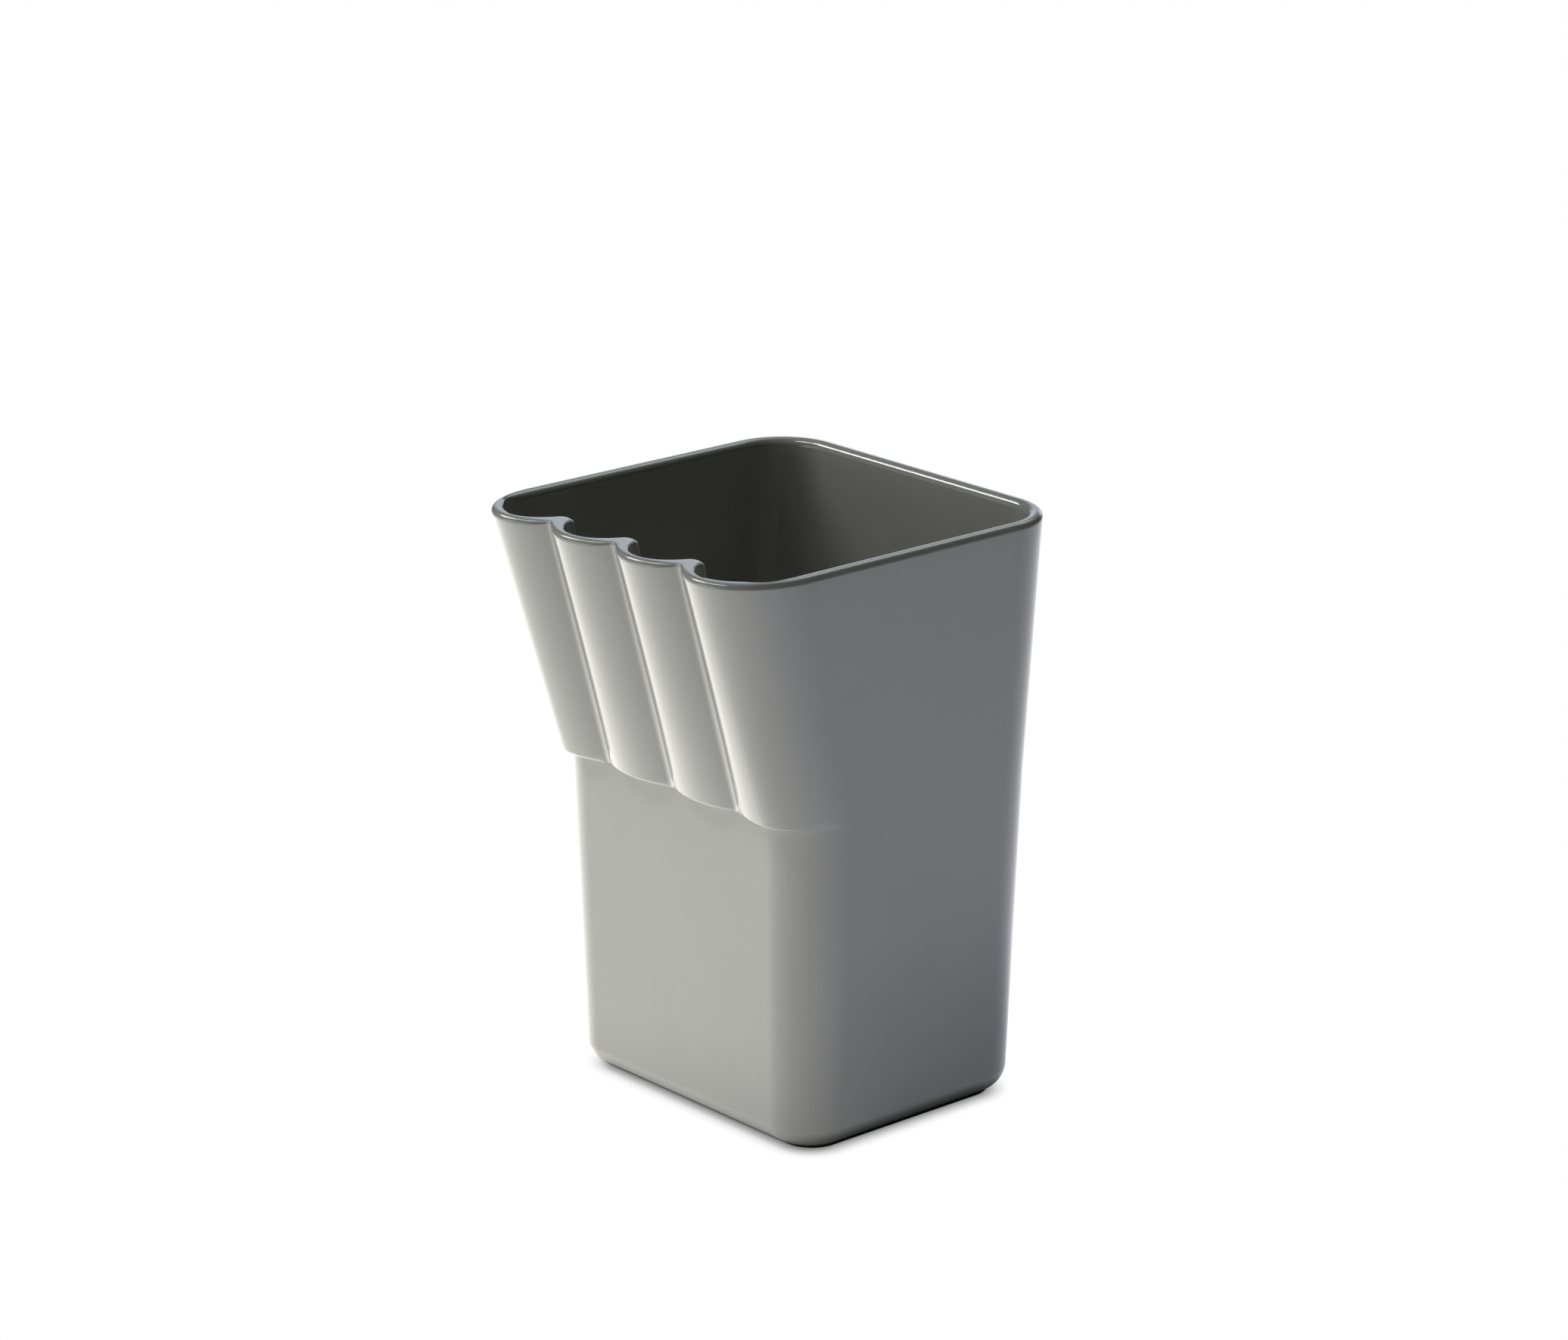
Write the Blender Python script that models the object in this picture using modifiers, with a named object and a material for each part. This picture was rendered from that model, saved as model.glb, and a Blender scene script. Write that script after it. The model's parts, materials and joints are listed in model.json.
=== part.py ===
"""Toothbrush tumbler: a moulded cup whose front leans out in four lobes, and the dark sole under it.

Metres, +Z up. The front, with the lobes, looks along -Y. The sole's underside rests on z = 0.

The step from the plain body to the lobes is the shape that takes the most care. Above the step the
front is four outward-leaning lobes with grooves between them; inside, each lobe is a round channel
and each groove is a fin. The sections there are unlike the rounded rectangle below, so the wall is a
loft from one section to the next, as wide at the grooves as at the lobes.
"""

import math

import bpy
import numpy as np

# Levels
HEIGHT = 0.1150
STEP_Z = 0.0650
UNDERSIDE_Z = 0.0006
FLOOR_Z = 0.0050
CHANNEL_FLOOR_Z = 0.0680

# Plain body: half widths, back and front at the base, at the step and at the rim
HALF_X_BASE, HALF_X_STEP, HALF_X_RIM = 0.03467, 0.03767, 0.03989
BACK_BASE, BACK_STEP, BACK_RIM = 0.02839, 0.03057, 0.03356
FRONT_BASE, FRONT_STEP = 0.02789, 0.02957
CORNER_BASE, CORNER_STEP, CORNER_RIM = 0.00944, 0.01150, 0.01307
WALL = 0.0030

# Lobes outside: how far the crests and the groove floors stand out in front of the middle
LOBES = 4
LOBE_PITCH = 0.01846
CREST_STEP, CREST_RIM = 0.0320, 0.0475
GROOVE_STEP, GROOVE_RIM = 0.0301, 0.0436
GROOVE_ROUND_STEP, GROOVE_ROUND_RIM = 0.0020, 0.0012
END_LOBE_LENGTH_RIM = 0.0155

# Channels and fins inside
CHANNEL_STEP, CHANNEL_RIM = 0.0304, 0.0455
FIN_STEP, FIN_RIM = 0.0264, 0.0383
FIN_ROUND = 0.0022
END_CHANNEL_LENGTH = 0.0092
CHANNEL_FLOOR_FALL = 0.0008

# Rounded edges
RIM_ROUND_SIDES = 0.0016
RIM_ROUND_LOBES = 0.0011
RIM_INNER_ROUND = 0.0004
STEP_ROUND = 0.0008
STEP_FALL = 0.0005
BASE_ROUND = 0.0050
FLOOR_ROUND = 0.0035

# Sole and its seat
SOLE_THICKNESS = 0.0022
SOLE_INSET_SIDES = 0.00324
SOLE_INSET_FRONT = 0.00412
SOLE_CORNER = 0.0062
SOLE_EDGE = 0.0004
SEAT_GAP = 0.0003
CUT_MARGIN = 0.0030

# Smoothness
CORNER_POINTS = 9
END_LOBE_POINTS = 11
LOBE_POINTS = 13
GROOVE_POINTS = 7
ROUND_ROWS = 6
SMALL_ROUND_ROWS = 4
LEAN_ROWS = 7
BODY_ROWS = 4
SMOOTH_ANGLE = math.radians(32)

# Colours and finish
BODY_COLOUR = (0.36, 0.36, 0.335, 1.0)
BODY_ROUGHNESS = 0.16
SOLE_COLOUR = (0.012, 0.012, 0.013, 1.0)
SOLE_ROUGHNESS = 0.62


def clear_scene():
    for obj in list(bpy.data.objects):
        bpy.data.objects.remove(obj, do_unlink=True)


def collection(name, helpers=False):
    made = bpy.data.collections.new(name)
    bpy.context.scene.collection.children.link(made)
    made.hide_render = helpers
    return made


def material(name, colour, roughness):
    made = bpy.data.materials.new(name)
    made.use_nodes = True
    shader = made.node_tree.nodes["Principled BSDF"]
    shader.inputs["Base Color"].default_value = colour
    shader.inputs["Roughness"].default_value = roughness
    made.diffuse_color = colour
    return made


def between(z, base, step, rim):
    """A width at height z, straight from the base to the step and from the step to the rim."""
    if z < STEP_Z:
        return base + (step - base) * z / STEP_Z
    return step + (rim - step) * (z - STEP_Z) / (HEIGHT - STEP_Z)


def arc(centre_x, centre_y, radius_x, radius_y, start, end, count, side_shares=(1.0, 1.0), facing=1.0):
    """Rows of x, y, normal x, normal y and side share along an elliptic arc, angles in degrees."""
    angle = np.radians(np.linspace(start, end, count))
    x = centre_x + radius_x * np.cos(angle)
    y = centre_y + radius_y * np.sin(angle)
    normal = np.stack([radius_y * np.cos(angle), radius_x * np.sin(angle)], axis=1)
    normal *= facing / np.linalg.norm(normal, axis=1, keepdims=True)
    return np.column_stack([x, y, normal, np.linspace(*side_shares, count)])


def scalloped(half_x, back, corner, crest, groove, groove_round, end_length):
    """A section with lobes: back left corner, end lobe, lobes and grooves, end lobe, back right corner.

    A lobe and a groove meet without a crease where (lobe radius + groove round) is
    (half pitch squared + depth squared) / (2 x depth), depth being crest less groove.
    """
    half_pitch = LOBE_PITCH / 2
    depth = crest - groove
    reach = (half_pitch**2 + depth**2) / (2 * depth)
    lobe_round = reach - groove_round
    turn = math.degrees(math.asin(half_pitch / reach))
    last = (LOBES - 1) / 2
    end_width = half_x - last * LOBE_PITCH
    end_y = end_length - crest
    rows = [
        arc(corner - half_x, back - corner, corner, corner, 90, 180, CORNER_POINTS),
        arc(-last * LOBE_PITCH, end_y, end_width, end_length, 180, 270, END_LOBE_POINTS, (1.0, 0.0)),
    ]
    for lobe in range(LOBES):
        middle = (lobe - last) * LOBE_PITCH
        start = 270 - turn * (lobe > 0)
        end = 270 + turn * (lobe < LOBES - 1)
        count = LOBE_POINTS if 0 < lobe < LOBES - 1 else LOBE_POINTS // 2 + 1
        side = arc(middle, lobe_round - crest, lobe_round, lobe_round, start, end, count, (0.0, 0.0))
        rows.append(side[1:] if lobe == 0 else side)
        if lobe < LOBES - 1:
            floor = arc(
                middle + half_pitch, -groove - groove_round, groove_round, groove_round,
                90 + turn, 90 - turn, GROOVE_POINTS, (0.0, 0.0), -1.0,
            )
            rows.append(floor[1:-1])
    rows.append(
        arc(last * LOBE_PITCH, end_y, end_width, end_length, 270, 360, END_LOBE_POINTS, (0.0, 1.0))[1:]
    )
    rows.append(arc(half_x - corner, back - corner, corner, corner, 0, 90, CORNER_POINTS))
    return np.concatenate(rows)


def plain(half_x, back, front, corner):
    """A rounded rectangle with one point for each point of a scalloped section."""
    left = arc(corner - half_x, corner - front, corner, corner, 180, 270, END_LOBE_POINTS)
    right = arc(half_x - corner, corner - front, corner, corner, 270, 360, END_LOBE_POINTS)
    lobes = LOBES * LOBE_POINTS - 2 * (LOBE_POINTS // 2)
    count = lobes + (LOBES - 1) * (GROOVE_POINTS - 2)
    flat = np.zeros((count, 5))
    flat[:, 0] = np.linspace(left[-1, 0], right[0, 0], count)
    flat[:, 1] = -front
    flat[:, 3] = -1.0
    return np.concatenate(
        [
            arc(corner - half_x, back - corner, corner, corner, 90, 180, CORNER_POINTS),
            left,
            flat[1:-1],
            right,
            arc(half_x - corner, back - corner, corner, corner, 0, 90, CORNER_POINTS),
        ]
    )


def plain_at(z, wall=0.0):
    """The plain section at height z, taken in by the wall for the inside."""
    return plain(
        between(z, HALF_X_BASE, HALF_X_STEP, HALF_X_RIM) - wall,
        between(z, BACK_BASE, BACK_STEP, BACK_RIM) - wall,
        FRONT_BASE + (FRONT_STEP - FRONT_BASE) * z / STEP_Z - wall,
        between(z, CORNER_BASE, CORNER_STEP, CORNER_RIM) - wall,
    )


def lobed_at(z):
    """The outside section at height z above the step, where the end lobes grow out of the corners."""
    end_length_step = CREST_STEP - FRONT_STEP + CORNER_STEP
    return scalloped(
        between(z, HALF_X_BASE, HALF_X_STEP, HALF_X_RIM),
        between(z, BACK_BASE, BACK_STEP, BACK_RIM),
        between(z, CORNER_BASE, CORNER_STEP, CORNER_RIM),
        between(z, CREST_STEP, CREST_STEP, CREST_RIM),
        between(z, GROOVE_STEP, GROOVE_STEP, GROOVE_RIM),
        between(z, GROOVE_ROUND_STEP, GROOVE_ROUND_STEP, GROOVE_ROUND_RIM),
        between(z, end_length_step, end_length_step, END_LOBE_LENGTH_RIM),
    )


def channelled_at(z):
    """The inside section at height z above the channel floors."""
    return scalloped(
        between(z, HALF_X_BASE, HALF_X_STEP, HALF_X_RIM) - WALL,
        between(z, BACK_BASE, BACK_STEP, BACK_RIM) - WALL,
        between(z, CORNER_BASE, CORNER_STEP, CORNER_RIM) - WALL,
        between(z, CHANNEL_STEP, CHANNEL_STEP, CHANNEL_RIM),
        between(z, FIN_STEP, FIN_STEP, FIN_RIM),
        FIN_ROUND,
        END_CHANNEL_LENGTH,
    )


def ring(section, z, inset=0.0):
    """A section as points in space, moved in along its normals."""
    moved = section[:, :2] - section[:, 2:4] * np.reshape(inset, (-1, 1))
    return np.column_stack([moved, np.broadcast_to(z, len(section))])


def angles(rows):
    return np.radians(np.linspace(0, 90, rows))


def outside_rings():
    """From the underside up to the top of the rim."""
    rings = []
    section = plain_at(UNDERSIDE_Z + BASE_ROUND)
    for a in angles(ROUND_ROWS)[::-1]:
        inset = BASE_ROUND * (1 - math.cos(a))
        rings.append(ring(section, UNDERSIDE_Z + BASE_ROUND * (1 - math.sin(a)), inset))
    for z in np.linspace(UNDERSIDE_Z + BASE_ROUND, STEP_Z - STEP_FALL, BODY_ROWS)[1:]:
        rings.append(ring(plain_at(z), z))
    rings += step_rings()
    for z in np.linspace(STEP_Z + STEP_ROUND, HEIGHT - RIM_ROUND_SIDES, LEAN_ROWS)[1:]:
        rings.append(ring(lobed_at(z), z))
    section = lobed_at(HEIGHT - RIM_ROUND_LOBES)
    rounding = RIM_ROUND_LOBES + (RIM_ROUND_SIDES - RIM_ROUND_LOBES) * section[:, 4]
    rings[-1][:, 2] = HEIGHT - rounding
    rings[-1][:, :2] = section[:, :2]
    for a in angles(ROUND_ROWS)[1:]:
        rings.append(ring(section, HEIGHT - rounding * (1 - math.sin(a)), rounding * (1 - math.cos(a))))
    return rings


def step_rings():
    """The overhanging step. Its rounding shrinks to nothing where a groove runs down into the wall."""
    lobes = lobed_at(STEP_Z + STEP_ROUND)
    overhang = np.clip(lobes[:, 1] * -1 - FRONT_STEP, 0.0, CREST_STEP - FRONT_STEP)
    overhang = overhang / (CREST_STEP - FRONT_STEP)
    rings = []
    for a in angles(ROUND_ROWS)[::-1]:
        z = STEP_Z + STEP_ROUND * (1 - math.sin(a))
        rings.append(ring(lobed_at(z), z, STEP_ROUND * (1 - math.cos(a)) * overhang))
    return rings


def inside_rings():
    """From the top of the rim down to the floor inside."""
    rings = []
    top = HEIGHT - RIM_INNER_ROUND
    section = channelled_at(top)
    for a in angles(SMALL_ROUND_ROWS)[::-1]:
        rings.append(ring(section, top + RIM_INNER_ROUND * math.sin(a), RIM_INNER_ROUND * (math.cos(a) - 1)))
    for z in np.linspace(top, CHANNEL_FLOOR_Z, LEAN_ROWS)[1:]:
        rings.append(ring(channelled_at(z), z))
    for z in np.linspace(CHANNEL_FLOOR_Z - CHANNEL_FLOOR_FALL, FLOOR_Z + FLOOR_ROUND, BODY_ROWS):
        rings.append(ring(plain_at(z, WALL), z))
    section = plain_at(FLOOR_Z + FLOOR_ROUND, WALL)
    for a in angles(ROUND_ROWS)[1:]:
        inset = FLOOR_ROUND * (1 - math.cos(a))
        rings.append(ring(section, FLOOR_Z + FLOOR_ROUND * (1 - math.sin(a)), inset))
    return rings


def loft(name, rings, target, finish):
    """A closed solid through rings of equal length, with a flat face on the first and on the last."""
    count = len(rings[0])
    step = np.arange(count)
    after = (step + 1) % count
    faces = [list(step[::-1])]
    for level in range(len(rings) - 1):
        low, high = level * count, (level + 1) * count
        faces += np.stack([low + step, low + after, high + after, high + step], axis=1).tolist()
    faces.append(list((len(rings) - 1) * count + step))
    mesh = bpy.data.meshes.new(name)
    mesh.from_pydata(np.concatenate(rings).tolist(), [], faces)
    mesh.validate()
    mesh.materials.append(finish)
    obj = bpy.data.objects.new(name, mesh)
    target.objects.link(obj)
    return obj


def rounded_plate(name, low, high, corner, edge, target, finish=None):
    """A box with its upright edges rounded by corner and, where edge isn't nought, its rims by edge."""
    bpy.ops.mesh.primitive_cube_add(size=1.0)
    obj = bpy.context.object
    obj.name = name
    for parent in list(obj.users_collection):
        parent.objects.unlink(obj)
    target.objects.link(obj)
    low, high = np.array(low), np.array(high)
    for vertex in obj.data.vertices:
        vertex.co = (low + high) / 2 + (high - low) * np.array(vertex.co)
    weights = obj.data.attributes.new("bevel_weight_edge", "FLOAT", "EDGE")
    for index, ends in enumerate(obj.data.edges):
        a, b = (obj.data.vertices[i].co for i in ends.vertices)
        weights.data[index].value = float(abs(a.z - b.z) > abs(a.x - b.x) + abs(a.y - b.y))
    upright = obj.modifiers.new("Upright edges", "BEVEL")
    upright.limit_method = "WEIGHT"
    upright.width = corner
    upright.segments = CORNER_POINTS
    if edge:
        rims = obj.modifiers.new("Rims", "BEVEL")
        rims.limit_method = "ANGLE"
        rims.angle_limit = math.radians(60)
        rims.width = edge
        rims.segments = SMALL_ROUND_ROWS
    if finish:
        obj.data.materials.append(finish)
    return obj


def smooth(obj):
    """Smooth shading, with the creases left sharp."""
    for face in obj.data.polygons:
        face.use_smooth = True
    obj.data.set_sharp_from_angle(angle=SMOOTH_ANGLE)


clear_scene()
parts = collection("toothbrush_tumbler")
cutters = collection("cutters", helpers=True)

# Body: one moulding, lofted from the underside out, up, over the rim and down inside
body_finish = material("warm grey gloss plastic", BODY_COLOUR, BODY_ROUGHNESS)
body = loft("tumbler_body", outside_rings() + inside_rings(), parts, body_finish)
smooth(body)

# Sole: a flat dark pad that sits in a seat in the underside
sole_half_x = HALF_X_BASE - SOLE_INSET_SIDES
sole_low = (-sole_half_x, SOLE_INSET_FRONT - FRONT_BASE, 0.0)
sole_high = (sole_half_x, BACK_BASE - SOLE_INSET_SIDES, SOLE_THICKNESS)
sole_finish = material("dark rubber", SOLE_COLOUR, SOLE_ROUGHNESS)
sole = rounded_plate("non_slip_sole", sole_low, sole_high, SOLE_CORNER, SOLE_EDGE, parts, sole_finish)
smooth(sole)

# The sole's seat, cut with the same plate made larger by the gap
seat = rounded_plate(
    "sole_seat_cutter",
    (sole_low[0] - SEAT_GAP, sole_low[1] - SEAT_GAP, -CUT_MARGIN),
    (sole_high[0] + SEAT_GAP, sole_high[1] + SEAT_GAP, SOLE_THICKNESS + SEAT_GAP),
    SOLE_CORNER + SEAT_GAP,
    0.0,
    cutters,
)
seat.hide_render = True
seat.display_type = "WIRE"
cut = body.modifiers.new("Sole seat", "BOOLEAN")
cut.operation = "DIFFERENCE"
cut.solver = "EXACT"
cut.object = seat
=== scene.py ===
# %% [markdown]
# # Toothbrush tumbler
# The real object is one glossy moulding of warm grey plastic that stands on a dark rubbery pad.
# The lower half is a plain rounded box. Above a step the front leans out in four lobes, and inside
# each lobe is a channel that a slim handle leans in.
#
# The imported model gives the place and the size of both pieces, and it is loaded first. Each visible
# piece is then made again as a much finer surface, so that reflections run smoothly over it.

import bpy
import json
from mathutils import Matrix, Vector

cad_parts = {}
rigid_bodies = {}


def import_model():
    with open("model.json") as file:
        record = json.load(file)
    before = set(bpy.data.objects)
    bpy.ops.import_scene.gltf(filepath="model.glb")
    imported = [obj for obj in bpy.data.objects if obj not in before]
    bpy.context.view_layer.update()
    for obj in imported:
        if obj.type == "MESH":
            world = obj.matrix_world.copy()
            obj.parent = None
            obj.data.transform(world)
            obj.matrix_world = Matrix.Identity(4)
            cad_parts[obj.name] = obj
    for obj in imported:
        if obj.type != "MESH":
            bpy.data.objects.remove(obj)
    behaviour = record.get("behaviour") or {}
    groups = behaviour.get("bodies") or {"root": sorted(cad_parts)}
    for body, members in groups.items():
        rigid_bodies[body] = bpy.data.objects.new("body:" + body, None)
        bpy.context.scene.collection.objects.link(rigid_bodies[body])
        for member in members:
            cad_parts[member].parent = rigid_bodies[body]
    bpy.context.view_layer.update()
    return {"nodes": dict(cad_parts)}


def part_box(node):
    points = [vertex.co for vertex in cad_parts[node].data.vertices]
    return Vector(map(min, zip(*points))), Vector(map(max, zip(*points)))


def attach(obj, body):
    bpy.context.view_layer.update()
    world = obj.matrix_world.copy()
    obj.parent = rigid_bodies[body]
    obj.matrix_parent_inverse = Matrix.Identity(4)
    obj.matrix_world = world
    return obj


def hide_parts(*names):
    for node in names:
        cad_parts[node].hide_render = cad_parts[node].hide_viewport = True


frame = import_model()
print("nodes:", sorted(frame["nodes"]))

# %% Blender's modules, the millimetre and the quarter turn
import json
import math

import bmesh
import bpy
import numpy as np
from mathutils import Matrix, Vector

MM = 0.001
QUARTER = math.pi / 2

# %% [markdown]
# ## The sizes that everything follows
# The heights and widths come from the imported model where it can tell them. The others are sizes
# that it was made from: widths at three levels, with straight walls between them, the lobes' crests
# and the grooves' floors, and the radii of the rounded edges. Some rounds are finer here than there.

# %% Levels and widths
# Three sizes are those at the base, the step and the rim, and the front's two are those at the base
# and the step. The walls' own rings end at the rim's depth, and the rounds of the rim go on there.
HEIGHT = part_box("tumbler_body")[1].z
sole_low, sole_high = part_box("non_slip_sole")
STEP_Z = 65.0 * MM
UNDERSIDE_Z = 0.6 * MM
FLOOR_Z = 5.0 * MM
CHANNEL_FLOOR_Z = 68.0 * MM
LEVELS = (0.0, STEP_Z, HEIGHT)
HALF_X = (34.67 * MM, 37.67 * MM, 39.89 * MM)
BACK = (28.39 * MM, 30.57 * MM, 33.56 * MM)
FRONT = (27.89 * MM, 29.57 * MM)
CORNER = (9.44 * MM, 11.50 * MM, 13.07 * MM)
WALL = 3.0 * MM
RIM_DEPTH = 4.0 * MM
print("height, mm:", round(HEIGHT / MM, 2))

# %% Lobes outside, channels and fins inside
# Two sizes are those at the step and the rim.
LOBES = 4
LOBE_PITCH = 18.46 * MM
CREST = (32.0 * MM, 47.5 * MM)
GROOVE = (30.1 * MM, 43.6 * MM)
GROOVE_ROUND = (2.0 * MM, 1.2 * MM)
END_LOBE_LENGTH_STEP, END_LOBE_LENGTH_RIM = CREST[0] - FRONT[1] + CORNER[1], 15.5 * MM
CHANNEL = (30.4 * MM, 45.5 * MM)
FIN = (26.4 * MM, 38.3 * MM)
FIN_ROUND = 2.2 * MM
END_CHANNEL_LENGTH = 9.2 * MM
END_CHANNEL_RIDGE = 0.8 * MM
RIDGE_START_SHARE, RIDGE_RISE_SHARE, RIDGE_GAIN = 0.18, 0.34, 1.15
print("lobes:", LOBES, "with a pitch of", round(LOBE_PITCH / MM, 2), "mm")

# %% Rounded edges, and the seat of the pad
# The rim's outer round grows from a little behind the crests on, and its inner round between two
# places in Y. The step's round gets taller by the fade where the overhang is small.
RIM_ROUND_SIDES = 1.30 * MM
RIM_ROUND_LOBES = 1.05 * MM
RIM_ROUND_GROOVES = 0.45 * MM
RIM_INNER_ROUND_CHANNELS = 0.3 * MM
RIM_INNER_ROUND_FINS = 1.0 * MM
RIM_INNER_ROUND_SIDES = 1.55 * MM
OUTER_ROUND_BEHIND_CREST = 2.0 * MM
INNER_ROUND_FROM_Y, INNER_ROUND_TO_Y = -42.5 * MM, -33.5 * MM
STEP_ROUND = 0.8 * MM
STEP_FADE = 2.4 * MM
STEP_FADE_OVERHANG = 0.9 * MM
STEP_FADE_ROOM = 0.8 * MM
BASE_ROUND = 5.0 * MM
FLOOR_ROUND = 3.5 * MM
CHANNEL_FLOOR_ROUND = 0.8 * MM
SEAT_GAP = 0.3 * MM
SOLE_CORNER = 6.2 * MM
SOLE_EDGE = 0.4 * MM
print("gap round the pad, mm:", round(SEAT_GAP / MM, 2))

# %% [markdown]
# ## Sections
# A section is a closed outline at one height. All of it is arcs and straight stretches, so one
# function that puts points on an elliptic arc makes nearly everything. The sizes may be columns with
# one entry for each height, and numpy then works out every height at once.

# %% Sizes at several heights
def column(values):
    """Turns sizes at several heights into a column, one entry for each ring."""
    return np.reshape(values, (-1, 1))


# %% One stretch of an outline
def arc(centre_x, centre_y, radius_x, radius_y, start, end, count):
    """Points and outward normals along an elliptic arc, for all heights at once.

    Formula: centre + (radius_x cos t, radius_y sin t), with t going evenly from start to end; the
    normal is (radius_y cos t, radius_x sin t) made one long. The end point is left to the next
    stretch. Returns heights x count x (x, y, normal x, normal y).
    """
    share = np.arange(count) / count
    sizes = (centre_x, centre_y, radius_x, radius_y, start, end)
    centre_x, centre_y, radius_x, radius_y, start, end = [column(size) for size in sizes]
    angle = start + (end - start) * share
    x = centre_x + radius_x * np.cos(angle)
    y = centre_y + radius_y * np.sin(angle)
    normal_x, normal_y = radius_y * np.cos(angle), radius_x * np.sin(angle)
    length = np.hypot(normal_x, normal_y)
    return np.stack(np.broadcast_arrays(x, y, normal_x / length, normal_y / length), axis=-1)


def straight(from_x, from_y, to_x, to_y, normal_x, normal_y, count):
    """Points along a straight stretch, closer together near its ends, where a round begins.

    Formula: the share of the way is (1 - cos(pi k / count)) / 2 for k from 0 to count - 1.
    """
    share = (1 - np.cos(np.pi * np.arange(count) / count)) / 2
    from_x, from_y, to_x, to_y = [column(size) for size in (from_x, from_y, to_x, to_y)]
    x = from_x + (to_x - from_x) * share
    y = from_y + (to_y - from_y) * share
    return np.stack(np.broadcast_arrays(x, y, normal_x, normal_y), axis=-1)


# %% How many points each stretch and each band gets
CORNER_COLUMNS, SIDE_COLUMNS, BACK_COLUMNS = 24, 14, 16
END_COLUMNS, LOBE_COLUMNS, GROOVE_COLUMNS = 34, 40, 20
FRONT_COLUMNS = (LOBE_COLUMNS + GROOVE_COLUMNS) * (LOBES - 1)
BASE_ROWS, PLAIN_ROWS, LEDGE_ROWS, STEP_ROWS, LEAN_ROWS = 16, 14, 2, 12, 22
OUTER_LIP_ROWS, TOP_ROWS, INNER_LIP_ROWS = 16, 3, 12
FOOT_ROWS, SHELF_ROWS, WELL_ROWS, FLOOR_ROWS = 7, 1, 12, 12
PAD_ROWS = 7
print("columns round the body:",
      2 * (CORNER_COLUMNS + SIDE_COLUMNS + END_COLUMNS) + BACK_COLUMNS + FRONT_COLUMNS)


# %% The sides and the back, which all sections share
def sides_and_back(half_x, back, corner, end_y):
    """The stretches before the front and those after it. The sides end at end_y, where it starts."""
    before = [
        arc(corner - half_x, back - corner, corner, corner, QUARTER, math.pi, CORNER_COLUMNS),
        straight(-half_x, back - corner, -half_x, end_y, -1.0, 0.0, SIDE_COLUMNS),
    ]
    after = [
        straight(half_x, end_y, half_x, back - corner, 1.0, 0.0, SIDE_COLUMNS),
        arc(half_x - corner, back - corner, corner, corner, 0.0, QUARTER, CORNER_COLUMNS),
        straight(half_x - corner, back, corner - half_x, back, 0.0, 1.0, BACK_COLUMNS),
    ]
    return before, after


# %% The section with lobes
def scalloped(half_x, back, corner, crest, groove, groove_round, end_length):
    """Left side, end lobe, lobes with grooves between them, end lobe, right side, and back.

    A lobe and a groove are arcs that meet without a crease. Their radii add up to
    (half pitch squared + depth squared) / (2 x depth), where depth is crest less groove, and each
    turns by the angle whose sine is half pitch over that sum.
    """
    half_pitch = LOBE_PITCH / 2
    depth = crest - groove
    reach = (half_pitch**2 + depth**2) / (2 * depth)
    lobe_round = reach - groove_round
    turn = np.arcsin(half_pitch / reach)
    last = (LOBES - 1) / 2 * LOBE_PITCH
    end_width = half_x - last
    end_y = end_length - crest
    down = -QUARTER
    before, after = sides_and_back(half_x, back, corner, end_y)
    parts = before + [arc(-last, end_y, end_width, end_length, math.pi, 3 * QUARTER, END_COLUMNS)]
    for lobe in range(LOBES):
        middle = lobe * LOBE_PITCH - last
        start = down - turn * (lobe > 0)
        end = down + turn * (lobe < LOBES - 1)
        count = LOBE_COLUMNS if 0 < lobe < LOBES - 1 else LOBE_COLUMNS // 2
        parts.append(arc(middle, lobe_round - crest, lobe_round, lobe_round, start, end, count))
        if lobe < LOBES - 1:
            floor = arc(middle + half_pitch, -groove - groove_round, groove_round, groove_round,
                        QUARTER + turn, QUARTER - turn, GROOVE_COLUMNS)
            floor[..., 2:] *= -1
            parts.append(floor)
    parts.append(arc(last, end_y, end_width, end_length, down, 0.0, END_COLUMNS))
    return np.concatenate(parts + after, axis=1)


# %% [markdown]
# The plain section is a rounded rectangle, and it has one point for each point of the section with
# lobes, so that the two can be joined row by row at the step. Its front points stand straight behind
# those of the lobes, which keeps the underside of the step from twisting.

# %% The plain section
front_start = CORNER_COLUMNS + SIDE_COLUMNS + END_COLUMNS
front_columns = slice(front_start, front_start + FRONT_COLUMNS)
lobes_at_step = scalloped(HALF_X[1], BACK[1], CORNER[1], CREST[0], GROOVE[0], GROOVE_ROUND[0],
                          END_LOBE_LENGTH_STEP)
front_shares = lobes_at_step[0, front_columns, 0] / lobes_at_step[0, front_start, 0]


def plain(half_x, back, front, corner):
    """A rounded rectangle with a corner radius, its front points spread as the lobes' points are."""
    half_x, back, front, corner = [column(size) for size in (half_x, back, front, corner)]
    end_y = corner - front
    x = (corner - half_x) * front_shares
    flat = np.stack(np.broadcast_arrays(x, -front, 0.0, -1.0), axis=-1)
    before, after = sides_and_back(half_x, back, corner, end_y)
    front_parts = [
        arc(corner - half_x, end_y, corner, corner, math.pi, 3 * QUARTER, END_COLUMNS),
        flat,
        arc(half_x - corner, end_y, corner, corner, -QUARTER, 0.0, END_COLUMNS),
    ]
    return np.concatenate(before + front_parts + after, axis=1)


# %% Sections at any height
def widths(z):
    """Half width, back and corner radius at heights z, straight between the three levels."""
    return [np.interp(z, LEVELS, size) for size in (HALF_X, BACK, CORNER)]


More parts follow.
